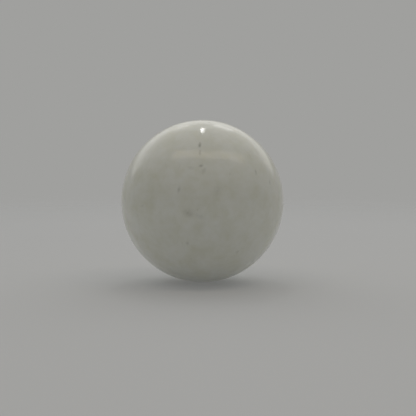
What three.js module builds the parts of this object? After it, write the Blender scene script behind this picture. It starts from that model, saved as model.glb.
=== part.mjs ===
// A plain cue ball: one solid casting of phenolic resin, ground round and polished all over.
// Millimetres, +Z up. The origin is the ball's centre.

import * as THREE from 'three';
import { mergeVertices } from 'three/addons/utils/BufferGeometryUtils.js';

// Driving dimensions
const ballDiameter = 57.15; // 2 1/4 in, the size of a pool ball
const facetDip = 0.035; // the most that a facet's middle may lie inside the true sphere

// The ball is a subdivided icosahedron, so its facets are nearly even and it has no poles.
// For a radius of 1, these are the icosahedron's edge and the distance of its faces from the centre.
const goldenRatio = (1 + Math.sqrt(5)) / 2;
const icosahedronEdge = 1 / Math.sin((2 * Math.PI) / 5);
const icosahedronInradius = (goldenRatio ** 2 * icosahedronEdge) / (2 * Math.sqrt(3));

// The widest facets lie in the middle of the icosahedron's faces, where the projection onto the
// sphere stretches them most. A facet whose corners are c from its middle dips c * c / (2 * radius).
function segmentsPerEdge(radius, dip) {
  const widestSide = (radius * icosahedronEdge) / icosahedronInradius;
  const cornerDistance = widestSide / Math.sqrt(3);
  const segments = cornerDistance / Math.sqrt(2 * radius * dip);
  return 2 * Math.ceil(segments / 2);
}

// An even number of segments puts a corner at the middle of every icosahedron edge. Six of those
// lie on the X, Y and Z axes, so the faceted ball measures its full diameter along each axis.
function ballGeometry(diameter, dip) {
  const radius = diameter / 2;
  const subdivisions = segmentsPerEdge(radius, dip) - 1;
  const facets = new THREE.IcosahedronGeometry(radius, subdivisions);
  facets.deleteAttribute('normal');
  facets.deleteAttribute('uv');
  const closed = mergeVertices(facets);
  closed.computeVertexNormals();
  return closed;
}

// Polished ivory-white phenolic resin
const phenolicResin = new THREE.MeshStandardMaterial({
  color: 0xe3e3db,
  roughness: 0.15,
  metalness: 0,
});

const cueBall = new THREE.Mesh(ballGeometry(ballDiameter, facetDip), phenolicResin);
cueBall.name = 'cue_ball';

const group = new THREE.Group();
group.add(cueBall);

export default group;
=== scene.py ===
"""A played cue ball: one sphere of cast phenolic resin, ground and polished, with the nicks, the dirt and the
fine scratches of use. Metres, +Z up, with the ball's centre at the origin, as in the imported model."""

import math

import bpy
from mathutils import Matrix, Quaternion, Vector


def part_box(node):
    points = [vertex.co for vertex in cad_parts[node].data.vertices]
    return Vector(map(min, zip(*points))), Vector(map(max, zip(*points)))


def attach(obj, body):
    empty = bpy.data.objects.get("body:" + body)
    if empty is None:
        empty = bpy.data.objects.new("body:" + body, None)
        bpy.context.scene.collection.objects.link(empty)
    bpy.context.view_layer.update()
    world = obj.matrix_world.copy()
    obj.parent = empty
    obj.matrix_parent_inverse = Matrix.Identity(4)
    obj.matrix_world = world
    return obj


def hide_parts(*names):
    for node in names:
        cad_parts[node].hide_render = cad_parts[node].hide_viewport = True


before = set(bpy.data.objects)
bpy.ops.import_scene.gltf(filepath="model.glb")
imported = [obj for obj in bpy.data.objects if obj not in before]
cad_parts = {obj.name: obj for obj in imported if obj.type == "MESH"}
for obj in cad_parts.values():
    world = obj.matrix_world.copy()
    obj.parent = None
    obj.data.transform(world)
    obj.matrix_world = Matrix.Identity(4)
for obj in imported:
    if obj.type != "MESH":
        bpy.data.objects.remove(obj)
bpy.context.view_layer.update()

bl_info = {
    "name": "Cue Ball",
    "version": (1, 0, 0),
    "blender": (4, 5, 0),
    "location": "View3D > Sidebar > Cue Ball",
    "description": "Builds a played cue ball and the plain stage that it stands on",
    "category": "Add Mesh",
}

MM = 0.001
NODE = "cue_ball"
BODY = "root"

node_low, node_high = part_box(NODE)
BALL_RADIUS = (node_high.z - node_low.z) / 2
CLOTH_LEVEL = node_low.z

FLOOR_CORNERS = 96
FADE_START, FADE_END = 0.4, 0.98  # where the floor fades out, as shares of its radius
# The glow under the ball is painted light: the floor's own emission, which lifts the ball's contact shadow.
UNDER_BALL = 1.6 * BALL_RADIUS  # how far the stronger glow under the ball reaches
LAMP_WATTS = 4.0  # what an area light needs for each square metre of it and each unit of radiance

# The marks of play that stand out. Azimuth is from the front, right positive, and elevation is above
# level, in degrees; lean is clockwise from upright. Sizes are in millimetres. Dirt is from 0 to 1.
MARKS = (
    # azimuth, elevation, lean, length, width, depth, dirt
    (-2.5, 45.5, 4.0, 4.0, 1.5, 0.03, 0.66),
    (-2.0, 39.0, 0.0, 4.4, 1.3, 0.02, 0.36),
    (-1.0, 28.5, 80.0, 2.4, 1.6, 0.03, 0.42),
    (1.0, 25.0, 30.0, 3.6, 2.4, 0.02, 0.20),
    (-8.5, 27.0, 100.0, 3.4, 1.8, 0.01, 0.16),
    (-16.0, 12.0, 6.0, 3.4, 1.6, 0.03, 0.30),
    (-9.0, -3.4, 104.0, 5.8, 4.4, 0.02, 0.24),
    (-2.0, -5.6, 106.0, 7.0, 2.6, 0.01, 0.13),
    (10.5, 11.5, 20.0, 6.0, 4.0, 0.01, 0.10),
    (-11.0, -25.0, 0.0, 2.0, 1.8, 0.03, 0.26),
    (29.0, -33.0, 30.0, 2.2, 1.8, 0.03, 0.22),
    (43.0, 23.0, 14.0, 3.0, 1.5, 0.03, 0.34),
    (56.0, 15.5, 20.0, 2.8, 1.5, 0.02, 0.24),
    (84.0, 31.0, -35.0, 2.6, 1.2, 0.03, 0.38),
    (97.0, -12.0, 62.0, 5.2, 2.0, 0.02, 0.22),
    (131.0, 8.0, 15.0, 2.2, 1.6, 0.03, 0.42),
    (148.0, 52.0, 120.0, 4.2, 1.2, 0.02, 0.30),
    (176.0, -4.0, 80.0, 3.0, 1.4, 0.03, 0.26),
    (205.0, 24.0, -20.0, 3.6, 1.6, 0.03, 0.40),
    (214.0, 17.0, 40.0, 5.8, 3.4, 0.01, 0.18),
    (243.0, -28.0, 5.0, 2.4, 1.4, 0.03, 0.34),
    (268.0, 38.0, 70.0, 3.0, 1.3, 0.03, 0.36),
    (291.0, 3.0, -50.0, 4.6, 1.2, 0.02, 0.24),
    (20.0, 76.0, 30.0, 2.6, 1.4, 0.02, 0.28),
    (250.0, 70.0, 100.0, 3.4, 1.6, 0.02, 0.24),
)

# The soft lights, which all face the ball. Angles are as above; sizes and the distance are in metres.
# Turn is anticlockwise, in degrees, as seen from behind the light.
LIGHTS = (
    # name, azimuth, elevation, distance, width, height, radiance, colour, turn
    ("rear_softbox", 182, 27, 1.2, 2.6, 0.4, 0.28, "#fffefb", 0),
    ("rear_spill", 182, 33, 1.2, 3.0, 0.8, 0.14, "#fffefb", 0),
    ("rear_right_window", 166, 38, 1.1, 0.2, 0.16, 0.8, "#ffffff", 0),
    ("rear_left_window", -166, 38, 1.1, 0.18, 0.14, 0.45, "#fffaf6", 0),
    ("rear_lamp", 180, 60.5, 0.5, 0.018, 0.1, 7.0, "#ffffff", 0),
    ("top_strip_left", -43, 69, 0.6, 0.42, 0.13, 0.65, "#fff0d8", 24),
    ("top_strip_right", 65, 62, 0.6, 0.51, 0.13, 0.65, "#fff0d8", -39),
)


# ------------------------------------------------------------------ settings


class BallSettings(bpy.types.PropertyGroup):
    """The ball's size, and what play has done to its surface."""

    radius: bpy.props.FloatProperty(
        name="Radius",
        description="Half the ball's diameter",
        default=BALL_RADIUS,
        unit="LENGTH",
    )
    segments: bpy.props.IntProperty(
        name="Segments",
        description="Faces along each edge of the cube that the ball is rounded from",
        default=128,
        min=8,
        max=128,
    )
    nicks: bpy.props.IntProperty(
        name="Nicks",
        description="How many small dents other balls, rails and floors have left, spread at random",
        default=120,
        min=0,
    )
    nick_length: bpy.props.FloatProperty(
        name="Nick Length", description="Length of the longest nick", default=2.2 * MM, unit="LENGTH"
    )
    nick_width: bpy.props.FloatProperty(
        name="Nick Width", description="Width of the widest nick", default=1.3 * MM, unit="LENGTH"
    )
    nick_depth: bpy.props.FloatProperty(
        name="Nick Depth", description="Depth of the deepest nick", default=0.03 * MM, unit="LENGTH"
    )
    seed: bpy.props.IntProperty(name="Seed", description="Changes where the nicks lie", default=7)


class ResinSettings(bpy.types.PropertyGroup):
    """The resin's colours and the finish of its surface."""

    ivory: bpy.props.StringProperty(
        name="Ivory", description="The resin's own colour, as sRGB hex", default="#e9eae2"
    )
    aged: bpy.props.StringProperty(
        name="Aged", description="Resin that light and handling have yellowed", default="#dbdbc9"
    )
    dirt: bpy.props.StringProperty(
        name="Dirt", description="Chalk and table dirt held in the marks of play", default="#6f6c58"
    )
    polished: bpy.props.FloatProperty(
        name="Polished", description="Roughness where the polish is whole", default=0.11, min=0, max=1
    )
    scuffed: bpy.props.FloatProperty(
        name="Scuffed", description="Roughness where play has dulled the polish", default=0.28, min=0, max=1
    )
    refraction: bpy.props.FloatProperty(
        name="Refraction", description="Index of refraction of phenolic resin", default=1.6
    )


class StageSettings(bpy.types.PropertyGroup):
    """The plain floor, the soft light and the camera."""

    floor: bpy.props.StringProperty(
        name="Floor", description="The floor's colour, as sRGB hex", default="#c6c7c8"
    )
    # Painted glow: the floor gives off this light itself, and no lamp lies beneath it. The stronger glow
    # under the ball lifts the ball's contact shadow and underside.
    glow: bpy.props.FloatProperty(
        name="Floor Glow", description="How strongly the floor is lit from beneath", default=0.044, min=0
    )
    glow_under_ball: bpy.props.FloatProperty(
        name="Glow Under Ball",
        description="How strongly the floor is lit from beneath where the ball stands",
        default=0.2,
        min=0,
    )
    backdrop: bpy.props.StringProperty(
        name="Backdrop", description="The surround behind the ball, as sRGB hex", default="#a0a09e"
    )
    room: bpy.props.StringProperty(
        name="Room", description="The surround on the camera's side, as sRGB hex", default="#717170"
    )
    overhead: bpy.props.FloatProperty(
        name="Overhead", description="How many times brighter the surround is overhead", default=2.5, min=0
    )
    floor_radius: bpy.props.FloatProperty(
        name="Floor Radius",
        description="Where the floor has faded into the surround",
        default=0.45,
        unit="LENGTH",
    )
    camera_distance: bpy.props.FloatProperty(
        name="Camera Distance", description="From the ball's centre", default=0.4, unit="LENGTH"
    )
    camera_elevation: bpy.props.FloatProperty(
        name="Camera Elevation",
        description="How far above the ball's centre the camera looks from",
        default=math.radians(4.5),
        subtype="ANGLE",
    )
    ball_share: bpy.props.FloatProperty(
        name="Ball Share",
        description="The ball's width as a share of the picture's",
        default=0.39,
        subtype="FACTOR",
    )
    ball_offset: bpy.props.FloatVectorProperty(
        name="Ball Offset",
        description="How far right of and above the picture's middle the ball is, as shares of its width",
        default=(-0.0136, 0.0168),
        size=2,
    )


# ------------------------------------------------------------------ helpers


def linear_rgba(srgb_hex):
    """The linear colour of an sRGB hex value such as "#ebe9dd"."""
    channels = [int(srgb_hex[i : i + 2], 16) / 255 for i in (1, 3, 5)]
    return tuple(c / 12.92 if c <= 0.04045 else ((c + 0.055) / 1.055) ** 2.4 for c in channels) + (1.0,)


def direction(azimuth, elevation):
    """The unit vector at an azimuth from the front and an elevation above level, in degrees."""
    a, e = math.radians(azimuth), math.radians(elevation)
    return Vector((math.sin(a) * math.cos(e), -math.cos(a) * math.cos(e), math.sin(e)))


def shown(sockets, key):
    """The socket at an index, or the socket in use that has a name."""
    if isinstance(key, int):
        return sockets[key]
    return next(s for s in sockets if s.name == key and s.enabled)


def add_node(tree, kind, inputs=None, **settings):
    """Adds a node and sets its properties. Each of its inputs gets a value, a socket or a node's output."""
    node = tree.nodes.new(kind)
    for name, value in settings.items():
        setattr(node, name, value)
    for key, value in (inputs or {}).items():
        socket = shown(node.inputs, key)
        if isinstance(value, bpy.types.Node):
            value = next(s for s in value.outputs if s.enabled)
        if isinstance(value, bpy.types.NodeSocket):
            tree.links.new(value, socket)
        else:
            socket.default_value = value
    return node


def new_material(name):
    """An empty material and its node tree."""
    material = bpy.data.materials.new(name)
    material.use_nodes = True
    material.node_tree.nodes.clear()
    return material, material.node_tree


def per_feature(size_mm):
    """The scale of a pattern whose features have this size, on coordinates in metres."""
    return 1 / (size_mm * MM)


# ------------------------------------------------------------------ materials


def pattern(tree, place, size_mm, low, high, top=1.0, detail=2.0):
    """A soft noise with features of this size, from 0 up to a top value as it goes from low to high."""
    noise = add_node(
        tree,
        "ShaderNodeTexNoise",
        {"Vector": place, "Scale": per_feature(size_mm), "Detail": detail, "Roughness": 0.55},
    )
    return add_node(
        tree, "ShaderNodeMapRange", {"Value": noise, "From Min": low, "From Max": high, "To Max": top}
    )


def aged_colour(tree, place, look):
    """Ivory resin that light and handling have yellowed: in clouds a finger's width across, and in a
    fine mottle where the filler settled as it cast."""
    clouds = pattern(tree, place, 7, 0.4, 0.7, top=0.5, detail=3.0)
    mottle = pattern(tree, place, 2.6, 0.35, 0.7, top=0.25)
    aged = add_node(tree, "ShaderNodeMath", {0: clouds, 1: mottle}, operation="ADD")
    return add_node(
        tree,
        "ShaderNodeMix",
        {"Factor": aged, "A": linear_rgba(look.ivory), "B": linear_rgba(look.aged)},
        data_type="RGBA",
    )


def held_dirt(tree, place):
    """Where the marks of play hold dirt, with ragged edges because it has been partly wiped off."""
    marks = add_node(tree, "ShaderNodeAttribute", attribute_name="dirt").outputs["Fac"]
    left = pattern(tree, place, 0.9, 0.25, 0.6)
    left = add_node(tree, "ShaderNodeMapRange", {"Value": left, "To Min": 0.35})
    return add_node(tree, "ShaderNodeMath", {0: marks, 1: left}, operation="MULTIPLY")


def specks(tree, place):
    """Pinholes where bubbles met the surface, 0.3 mm across, in three out of ten cells 3.5 mm wide.
    Real ones are smaller, and these are drawn large enough to show."""
    cells = add_node(tree, "ShaderNodeTexVoronoi", {"Vector": place, "Scale": per_feature(3.5)})
    away = cells.outputs["Distance"]
    dots = add_node(
        tree,
        "ShaderNodeMapRange",
        {"Value": away, "From Min": 0.03, "From Max": 0.06, "To Min": 1.0, "To Max": 0.0},
    )
    few = add_node(tree, "ShaderNodeMath", {0: cells.outputs["Color"], 1: 0.7}, operation="GREATER_THAN")
    return add_node(tree, "ShaderNodeMath", {0: dots, 1: few}, operation="MULTIPLY")


def hairlines(tree, place, size_mm, width):
    """Fine curved scratches: the lines where a smooth noise passes its middle, broken by a finer one.
    Real ones are a few hundredths of a millimetre wide, and these are drawn a tenth wide to show."""
    waves = add_node(
        tree,
        "ShaderNodeTexNoise",
        {"Vector": place, "Scale": per_feature(size_mm), "Detail": 1.0, "Distortion": 0.4},
    )
    from_middle = add_node(tree, "ShaderNodeMath", {0: waves, 1: 0.5}, operation="SUBTRACT")
    from_middle = add_node(tree, "ShaderNodeMath", {0: from_middle}, operation="ABSOLUTE")
    lines = add_node(
        tree, "ShaderNodeMapRange", {"Value": from_middle, "From Max": width, "To Min": 1.0, "To Max": 0.0}
    )
    kept = pattern(tree, place, size_mm / 2, 0.5, 0.58)
    return add_node(tree, "ShaderNodeMath", {0: lines, 1: kept}, operation="MULTIPLY")


def polished_resin(look):
    """Phenolic resin, cast in a mould, ground round and polished. It gives a warm white with a little
    depth under a hard gloss. Age clouds it with yellow, and play leaves hairlines, scuffs and dirt."""
    material, tree = new_material("phenolic_resin_cast_and_polished")
    place = add_node(tree, "ShaderNodeTexCoord").outputs["Object"]

    dirt = held_dirt(tree, place)
    pinholes = specks(tree, place)
    short = hairlines(tree, place, 11, 0.004)
    long = hairlines(tree, place, 17, 0.003)
    scratches = add_node(tree, "ShaderNodeMath", {0: short, 1: long}, operation="MAXIMUM")
    stain = dirt
    for flaw, darkness in ((pinholes, 0.3), (scratches, 0.1)):
        faint = add_node(tree, "ShaderNodeMath", {0: flaw, 1: darkness}, operation="MULTIPLY")
        stain = add_node(tree, "ShaderNodeMath", {0: stain, 1: faint}, operation="MAXIMUM")
    clean = aged_colour(tree, place, look)
    colour = add_node(
        tree, "ShaderNodeMix", {"Factor": stain, "A": clean, "B": linear_rgba(look.dirt)}, data_type="RGBA"
    )

    # Scuffs from the cloth and the rails, in patches, over a film that hands leave on the whole ball
    scuffs = pattern(tree, place, 5, 0.5, 0.75, top=0.4, detail=4.0)
    film = pattern(tree, place, 16, 0.35, 0.65, top=0.2)
    dull = add_node(tree, "ShaderNodeMath", {0: scuffs, 1: film}, operation="ADD")
    for flaw in (dirt, scratches):
        dull = add_node(tree, "ShaderNodeMath", {0: dull, 1: flaw}, operation="MAXIMUM")
    roughness = add_node(
        tree, "ShaderNodeMix", {"Factor": dull, "A": look.polished, "B": look.scuffed}, data_type="FLOAT"
    )

    # The faint waviness that polishing leaves, and the scratches cut into it
    peel = pattern(tree, place, 2.2, 0.0, 1.0)
    waves = add_node(tree, "ShaderNodeMath", {0: peel, 1: 0.5}, operation="MULTIPLY")
    cuts = add_node(tree, "ShaderNodeMath", {0: scratches, 1: pinholes}, operation="MAXIMUM")
    height = add_node(tree, "ShaderNodeMath", {0: waves, 1: cuts}, operation="SUBTRACT")
    relief = add_node(tree, "ShaderNodeBump", {"Height": height, "Strength": 0.5, "Distance": 0.01 * MM})

    surface = add_node(
        tree,
        "ShaderNodeBsdfPrincipled",
        {
            "Base Color": colour,
            "Roughness": roughness,
            "Normal": relief,
            "IOR": look.refraction,
            "Subsurface Weight": 0.15,
            "Subsurface Radius": (1.0, 0.9, 0.7),
            "Subsurface Scale": 2.5 * MM,
        },
    )
    add_node(tree, "ShaderNodeOutputMaterial", {"Surface": surface})
    return material


def glowing_floor(stage):
    """Opal acrylic, a cast sheet, with a painted glow: the sheet gives off faint light of its own, and most
    where the ball stands, which lightens the ball's contact shadow and underside. No lamp lies beneath it.
    It gives a pale ground with a soft light shadow. It ends in no edge: it fades out with its distance."""
    material, tree = new_material("opal_acrylic_sheet_with_painted_glow")
    place = add_node(tree, "ShaderNodeTexCoord").outputs["Object"]
    distance = add_node(tree, "ShaderNodeVectorMath", {0: place}, operation="LENGTH").outputs["Value"]
    faded = add_node(
        tree,
        "ShaderNodeMapRange",
        {
            "Value": distance,
            "From Min": stage.floor_radius * FADE_START,
            "From Max": stage.floor_radius * FADE_END,
        },
        interpolation_type="SMOOTHSTEP",
    )
    # Painted glow: the floor's own emission, strongest within UNDER_BALL of where the ball stands, where it
    # lifts the contact shadow
    painted_glow_strength = add_node(
        tree,
        "ShaderNodeMapRange",
        {
            "Value": distance,
            "From Max": UNDER_BALL,
            "To Min": stage.glow_under_ball,
            "To Max": stage.glow,
        },
        interpolation_type="SMOOTHSTEP",
    )
    sheet = add_node(tree, "ShaderNodeBsdfDiffuse", {"Color": linear_rgba(stage.floor)})
    # The floor gives off this painted glow itself; no lamp lights it from beneath
    glow = add_node(tree, "ShaderNodeEmission", {"Strength": painted_glow_strength})
    lit = add_node(tree, "ShaderNodeAddShader", {0: sheet, 1: glow})
    nothing = add_node(tree, "ShaderNodeBsdfTransparent")
    surface = add_node(tree, "ShaderNodeMixShader", {"Fac": faded, 1: lit, 2: nothing})
    add_node(tree, "ShaderNodeOutputMaterial", {"Surface": surface})
    return material


def soft_surround(stage):
    """A pale backdrop behind the ball, a dimmer room on the camera's side, and brighter light overhead,
    each running softly into the next."""
    world = bpy.data.worlds.new("surround")
    world.use_nodes = True
    tree = world.node_tree
    # The way looked in: Y goes from -1 towards the camera to 1 behind the ball, and Z from 0 to 1 overhead
    way = add_node(tree, "ShaderNodeTexCoord").outputs["Generated"]
    way = add_node(tree, "ShaderNodeSeparateXYZ", {0: way})
    behind = add_node(
        tree,
        "ShaderNodeMapRange",
        {"Value": way.outputs["Y"], "From Min": -0.3, "From Max": 1.0},
        interpolation_type="SMOOTHSTEP",
    )
    above = add_node(
        tree,
        "ShaderNodeMapRange",
        {
            "Value": way.outputs["Z"],
            "From Min": 0.15,
            "From Max": 0.95,
            "To Min": 1.0,
            "To Max": stage.overhead,
        },
        interpolation_type="SMOOTHSTEP",
    )
    colour = add_node(
        tree,
        "ShaderNodeMix",
        {"Factor": behind, "A": linear_rgba(stage.room), "B": linear_rgba(stage.backdrop)},
        data_type="RGBA",
    )
    background = tree.nodes["Background"]
    tree.links.new(shown(colour.outputs, "Result"), background.inputs["Color"])
    tree.links.new(above.outputs["Result"], background.inputs["Strength"])
    return world


# ------------------------------------------------------------------ the ball


def marks_mesh(radius):
    """One loose point for each mark of play, on the ball's surface, with the mark's shape and dirt."""
    places, alongs, shapes, dirts = [], [], [], []
    for azimuth, elevation, lean, length, width, depth, held in MARKS:
        outward = direction(azimuth, elevation)
        rightward = Vector((0, 0, 1)).cross(outward).normalized()
        upward = outward.cross(rightward)
        turn = math.radians(lean)
        places.append(outward * radius)
        alongs.extend(upward * math.cos(turn) + rightward * math.sin(turn))
        shapes.extend(Vector((length / 2, width / 2, depth)) * MM)
        dirts.append(held)
    mesh = bpy.data.meshes.new("marks_of_play")
    mesh.from_pydata(places, [], [])
    mesh.attributes.new("along", "FLOAT_VECTOR", "POINT").data.foreach_set("vector", alongs)
    mesh.attributes.new("shape", "FLOAT_VECTOR", "POINT").data.foreach_set("vector", shapes)
    mesh.attributes.new("dirt", "FLOAT", "POINT").data.foreach_set("value", dirts)
    return mesh


def random_nicks(tree, sizes, ball):
    """Points spread over the ball at random, each with a nick's direction, shape and dirt."""
    squared = add_node(tree, "ShaderNodeMath", {0: sizes["Radius"], 1: 2.0}, operation="POWER")
    density = add_node(tree, "ShaderNodeMath", {0: sizes["Nicks"], 1: squared}, operation="DIVIDE")
    density = add_node(tree, "ShaderNodeMath", {0: density, 1: 4 * math.pi}, operation="DIVIDE")
    points = add_node(
        tree,
        "GeometryNodeDistributePointsOnFaces",
        {"Mesh": ball, "Density": density, "Seed": sizes["Seed"]},
    )
    any_way = add_node(
        tree,
        "FunctionNodeRandomValue",
        {"Min": (-1.0, -1.0, -1.0), "Max": (1.0, 1.0, 1.0), "Seed": 1},
        data_type="FLOAT_VECTOR",
    )
    position = add_node(tree, "GeometryNodeInputPosition")
    sideways = add_node(tree, "ShaderNodeVectorMath", {0: position, 1: any_way}, operation="CROSS_PRODUCT")
    along = add_node(tree, "ShaderNodeVectorMath", {0: sideways}, operation="NORMALIZE")

    # Most nicks are small: a squared chance makes few of them reach the largest size
    chance = add_node(tree, "FunctionNodeRandomValue", {"Min": 0.0, "Max": 1.0, "Seed": 2})
    few = add_node(tree, "ShaderNodeMath", {0: chance, 1: 2.0}, operation="POWER")
    share = add_node(tree, "ShaderNodeMapRange", {"Value": few, "To Min": 0.3, "To Max": 1.0})
    half_share = add_node(tree, "ShaderNodeMath", {0: share, 1: 0.5}, operation="MULTIPLY")
    half_length = add_node(
        tree, "ShaderNodeMath", {0: half_share, 1: sizes["Nick Length"]}, operation="MULTIPLY"
    )
    half_width = add_node(
        tree, "ShaderNodeMath", {0: half_share, 1: sizes["Nick Width"]}, operation="MULTIPLY"
    )
    depth = add_node(tree, "ShaderNodeMath", {0: share, 1: sizes["Nick Depth"]}, operation="MULTIPLY")
    shape = add_node(tree, "ShaderNodeCombineXYZ", {"X": half_length, "Y": half_width, "Z": depth})
    held = add_node(tree, "FunctionNodeRandomValue", {"Min": 0.0, "Max": 0.42, "Seed": 3})
    dirt = add_node(tree, "ShaderNodeMath", {0: held, 1: 2.0}, operation="POWER")
    for name, value, kind in (
        ("along", along, "FLOAT_VECTOR"),
        ("shape", shape, "FLOAT_VECTOR"),
        ("dirt", dirt, "FLOAT"),
    ):
        points = add_node(
            tree,
            "GeometryNodeStoreNamedAttribute",
            {"Geometry": points, "Name": name, "Value": value},
            data_type=kind,
            domain="POINT",
        )
    return points


def press_dents(tree, sizes, ball, dents):
    """Presses every dent into the ball, one after another. Where two overlap, the deeper one counts."""
    count = add_node(tree, "GeometryNodeAttributeDomainSize", {"Geometry": dents}, component="POINTCLOUD")
    loop_in = add_node(tree, "GeometryNodeRepeatInput")
    loop_out = add_node(tree, "GeometryNodeRepeatOutput")
    loop_in.pair_with_output(loop_out)
    tree.links.new(count.outputs["Point Count"], loop_in.inputs["Iterations"])
    tree.links.new(shown(ball.outputs, "Geometry"), loop_in.inputs["Geometry"])
    position = add_node(tree, "GeometryNodeInputPosition")

    # What the dent of this turn of the loop has
    this_dent = {}
    for name, kind in (
        ("position", "FLOAT_VECTOR"),
        ("along", "FLOAT_VECTOR"),
        ("shape", "FLOAT_VECTOR"),
        ("dirt", "FLOAT"),
    ):
        stored = add_node(tree, "GeometryNodeInputNamedAttribute", {"Name": name}, data_type=kind)
        this_dent[name] = add_node(
            tree,
            "GeometryNodeSampleIndex",
            {"Geometry": dents, "Value": stored, "Index": loop_in.outputs["Iteration"]},
            data_type=kind,
        )
    middle, along = this_dent["position"], this_dent["along"]
    shape = add_node(tree, "ShaderNodeSeparateXYZ", {0: this_dent["shape"]})

    # How far a point lies from the dent's middle, in the dent's own half length and half width.
    # The third direction, through the ball, keeps the dent off the far side.
    offset = add_node(tree, "ShaderNodeVectorMath", {0: position, 1: middle}, operation="SUBTRACT")
    outward = add_node(tree, "ShaderNodeVectorMath", {0: middle}, operation="NORMALIZE")
    across = add_node(tree, "ShaderNodeVectorMath", {0: outward, 1: along}, operation="CROSS_PRODUCT")
    shares = []
    for axis, extent in (
        (along, shape.outputs["X"]),
        (across, shape.outputs["Y"]),
        (outward, sizes["Radius"]),
    ):
        run = add_node(tree, "ShaderNodeVectorMath", {0: offset, 1: axis}, operation="DOT_PRODUCT")
        shares.append(
            add_node(tree, "ShaderNodeMath", {0: run.outputs["Value"], 1: extent}, operation="DIVIDE")
        )
    shares = add_node(tree, "ShaderNodeCombineXYZ", dict(zip("XYZ", shares)))
    reach = add_node(tree, "ShaderNodeVectorMath", {0: shares}, operation="LENGTH").outputs["Value"]
    bowl = add_node(
        tree,
        "ShaderNodeMapRange",
        {"Value": reach, "To Min": 1.0, "To Max": 0.0},
        interpolation_type="SMOOTHSTEP",
    )

    pressed = loop_in.outputs["Geometry"]
    for name, most in (("depth", shape.outputs["Z"]), ("dirt", this_dent["dirt"])):
        here = add_node(tree, "ShaderNodeMath", {0: bowl, 1: most}, operation="MULTIPLY")
        so_far = add_node(tree, "GeometryNodeInputNamedAttribute", {"Name": name}, data_type="FLOAT")
        deeper = add_node(tree, "ShaderNodeMath", {0: here, 1: so_far}, operation="MAXIMUM")
        pressed = add_node(
            tree,
            "GeometryNodeStoreNamedAttribute",
            {"Geometry": pressed, "Name": name, "Value": deeper},
            data_type="FLOAT",
            domain="POINT",
        )
    tree.links.new(shown(pressed.outputs, "Geometry"), loop_out.inputs["Geometry"])

    # Each point sinks towards the ball's centre by the depth that it was left with
    depth = add_node(tree, "GeometryNodeInputNamedAttribute", {"Name": "depth"}, data_type="FLOAT")
    inward = add_node(tree, "ShaderNodeMath", {0: depth, 1: -1.0}, operation="MULTIPLY")
    away = add_node(tree, "ShaderNodeVectorMath", {0: position}, operation="NORMALIZE")
    step = add_node(tree, "ShaderNodeVectorMath", {0: away, "Scale": inward}, operation="SCALE")
    return add_node(
        tree, "GeometryNodeSetPosition", {"Geometry": loop_out.outputs["Geometry"], "Offset": step}
    )


def played_ball_tree():
    """A cube's even grid rounded into a sphere, so that it has no poles, then dented by play."""
    tree = bpy.data.node_groups.new("played_ball", "GeometryNodeTree")
    for name, kind in (
        ("Marks", "Geometry"),
        ("Radius", "Float"),
        ("Segments", "Int"),
        ("Nicks", "Int"),
        ("Nick Length", "Float"),
        ("Nick Width", "Float"),
        ("Nick Depth", "Float"),
        ("Seed", "Int"),
        ("Resin", "Material"),
    ):
        tree.interface.new_socket(name, in_out="INPUT", socket_type="NodeSocket" + kind)
    tree.interface.new_socket("Ball", in_out="OUTPUT", socket_type="NodeSocketGeometry")
    sizes = add_node(tree, "NodeGroupInput").outputs

    corners = add_node(tree, "ShaderNodeMath", {0: sizes["Segments"], 1: 1.0}, operation="ADD")
    cube = add_node(
        tree,
        "GeometryNodeMeshCube",
        {"Size": (2.0, 2.0, 2.0), "Vertices X": corners, "Vertices Y": corners, "Vertices Z": corners},
    )
    # The tangent spaces the grid's lines evenly by angle, as seen from the middle of the cube
    position = add_node(tree, "GeometryNodeInputPosition")
    angle = add_node(
        tree, "ShaderNodeVectorMath", {0: position, "Scale": math.pi / 4}, operation="SCALE"
    )
    spaced = add_node(tree, "ShaderNodeVectorMath", {0: angle}, operation="TANGENT")
    outward = add_node(tree, "ShaderNodeVectorMath", {0: spaced}, operation="NORMALIZE")
    rounded = add_node(
        tree, "ShaderNodeVectorMath", {0: outward, "Scale": sizes["Radius"]}, operation="SCALE"
    )
    ball = add_node(tree, "GeometryNodeSetPosition", {"Geometry": cube, "Position": rounded})

    marks = add_node(tree, "GeometryNodeMeshToPoints", {"Mesh": sizes["Marks"]})
    dents = add_node(tree, "GeometryNodeJoinGeometry")
    for points in (random_nicks(tree, sizes, ball), marks):
        tree.links.new(points.outputs[0], dents.inputs["Geometry"])
    ball = press_dents(tree, sizes, ball, dents)

    smooth = add_node(tree, "GeometryNodeSetShadeSmooth", {"Geometry": ball})
    whole = add_node(tree, "GeometryNodeRealizeInstances", {"Geometry": smooth})
    finished = add_node(tree, "GeometryNodeSetMaterial", {"Geometry": whole, "Material": sizes["Resin"]})
    add_node(tree, "NodeGroupOutput", {"Ball": finished})
    return tree


def grown(name, start, tree, values):
    """The plain mesh object that a tree makes from a starting mesh and the values of its inputs."""
    piece = bpy.data.objects.new(name, start)
    bpy.context.scene.collection.objects.link(piece)
    modifier = piece.modifiers.new(tree.name, "NODES")
    modifier.node_group = tree
    for item in tree.interface.items_tree:
        if item.in_out == "INPUT" and item.name in values:
            modifier[item.identifier] = values[item.name]
    depsgraph = bpy.context.evaluated_depsgraph_get()
    made = bpy.data.meshes.new_from_object(
        piece.evaluated_get(depsgraph), preserve_all_data_layers=True, depsgraph=depsgraph
    )
    piece.modifiers.clear()
    piece.data = made
    made.name = name
    made.materials.pop(index=0)  # the empty slot that a tree's first shape brings
    bpy.data.meshes.remove(start)
    return piece


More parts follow.
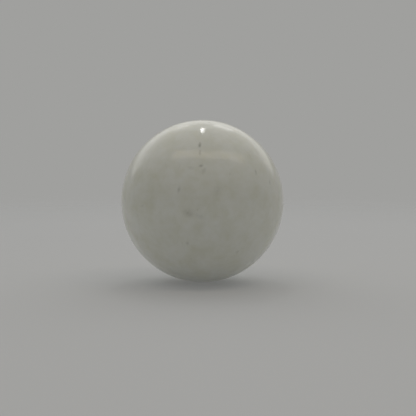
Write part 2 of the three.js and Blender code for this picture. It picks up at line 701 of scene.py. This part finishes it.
class CUEBALL_OT_ball(bpy.types.Operator):
    """Build the played ball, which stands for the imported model's plain one"""

    bl_idname = "cueball.ball"
    bl_label = "Cue Ball"

    def execute(self, context):
        ball = context.scene.cueball_ball
        values = {
            "Radius": ball.radius,
            "Segments": ball.segments,
            "Nicks": ball.nicks,
            "Nick Length": ball.nick_length,
            "Nick Width": ball.nick_width,
            "Nick Depth": ball.nick_depth,
            "Seed": ball.seed,
            "Resin": polished_resin(context.scene.cueball_resin),
        }
        piece = grown("played_cue_ball", marks_mesh(ball.radius), played_ball_tree(), values)
        if not piece.data.polygons:
            raise RuntimeError("the ball's tree made no mesh")
        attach(piece, BODY)
        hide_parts(NODE)
        return {"FINISHED"}


# ------------------------------------------------------------------ the stage


def softbox(name, azimuth, elevation, distance, width, height, radiance, colour, turn):
    """A soft light of this size that faces the ball from this direction, turned in its own plane."""
    light = bpy.data.lights.new(name, "AREA")
    light.shape = "RECTANGLE"
    light.size = width
    light.size_y = height
    light.energy = radiance * LAMP_WATTS * width * height
    light.color = linear_rgba(colour)[:3]
    lamp = bpy.data.objects.new(name, light)
    lamp.location = direction(azimuth, elevation) * distance
    facing = lamp.location.to_track_quat("Z", "Y") @ Quaternion((0, 0, 1), math.radians(turn))
    lamp.rotation_euler = facing.to_euler()
    lamp.visible_camera = False
    bpy.context.scene.collection.objects.link(lamp)
    return lamp


class CUEBALL_OT_stage(bpy.types.Operator):
    """Set the plain floor, the soft light and the camera"""

    bl_idname = "cueball.stage"
    bl_label = "Stage"

    def execute(self, context):
        stage = context.scene.cueball_stage
        radius = context.scene.cueball_ball.radius
        if stage.camera_distance <= radius:
            raise ValueError("the camera is inside the ball")
        self.lay_floor(context, stage)
        self.light(context, stage)
        self.place_camera(context, stage, radius)
        context.scene.view_settings.view_transform = "Standard"
        return {"FINISHED"}

    def lay_floor(self, context, stage):
        turns = [2 * math.pi * i / FLOOR_CORNERS for i in range(FLOOR_CORNERS)]
        reach = stage.floor_radius
        rim = [(reach * math.cos(turn), reach * math.sin(turn), CLOTH_LEVEL) for turn in turns]
        mesh = bpy.data.meshes.new("floor")
        mesh.from_pydata(rim, [], [range(FLOOR_CORNERS)])
        mesh.materials.append(glowing_floor(stage))
        floor = bpy.data.objects.new("floor", mesh)
        context.scene.collection.objects.link(floor)

    def light(self, context, stage):
        context.scene.world = soft_surround(stage)
        for light in LIGHTS:
            softbox(*light)

    def place_camera(self, context, stage, radius):
        data = bpy.data.cameras.new("camera")
        reach = math.sqrt(stage.camera_distance**2 - radius**2)
        data.lens = stage.ball_share * data.sensor_width * reach / (2 * radius)
        data.shift_x = -stage.ball_offset[0]
        data.shift_y = -stage.ball_offset[1]
        camera = bpy.data.objects.new("camera", data)
        camera.location = direction(0, math.degrees(stage.camera_elevation)) * stage.camera_distance
        camera.rotation_euler = camera.location.to_track_quat("Z", "Y").to_euler()
        context.scene.collection.objects.link(camera)
        bpy.context.scene.camera = camera


# ------------------------------------------------------------------ panel and registration


class CUEBALL_PT_panel(bpy.types.Panel):
    """The ball's settings and the steps that build it."""

    bl_idname = "CUEBALL_PT_panel"
    bl_label = "Cue Ball"
    bl_space_type = "VIEW_3D"
    bl_region_type = "UI"
    bl_category = "Cue Ball"

    def draw(self, context):
        for settings, operator in (
            (context.scene.cueball_ball, CUEBALL_OT_ball),
            (context.scene.cueball_resin, None),
            (context.scene.cueball_stage, CUEBALL_OT_stage),
        ):
            box = self.layout.box()
            for name in settings.__annotations__:
                box.prop(settings, name)
            if operator:
                box.operator(operator.bl_idname)


CLASSES = (BallSettings, ResinSettings, StageSettings, CUEBALL_OT_ball, CUEBALL_OT_stage, CUEBALL_PT_panel)


def register():
    for cls in CLASSES:
        bpy.utils.register_class(cls)
    bpy.types.Scene.cueball_ball = bpy.props.PointerProperty(type=BallSettings)
    bpy.types.Scene.cueball_resin = bpy.props.PointerProperty(type=ResinSettings)
    bpy.types.Scene.cueball_stage = bpy.props.PointerProperty(type=StageSettings)


def unregister():
    del bpy.types.Scene.cueball_stage
    del bpy.types.Scene.cueball_resin
    del bpy.types.Scene.cueball_ball
    for cls in reversed(CLASSES):
        bpy.utils.unregister_class(cls)


def main():
    register()
    bpy.ops.cueball.ball()
    bpy.ops.cueball.stage()


if __name__ == "__main__":
    main()
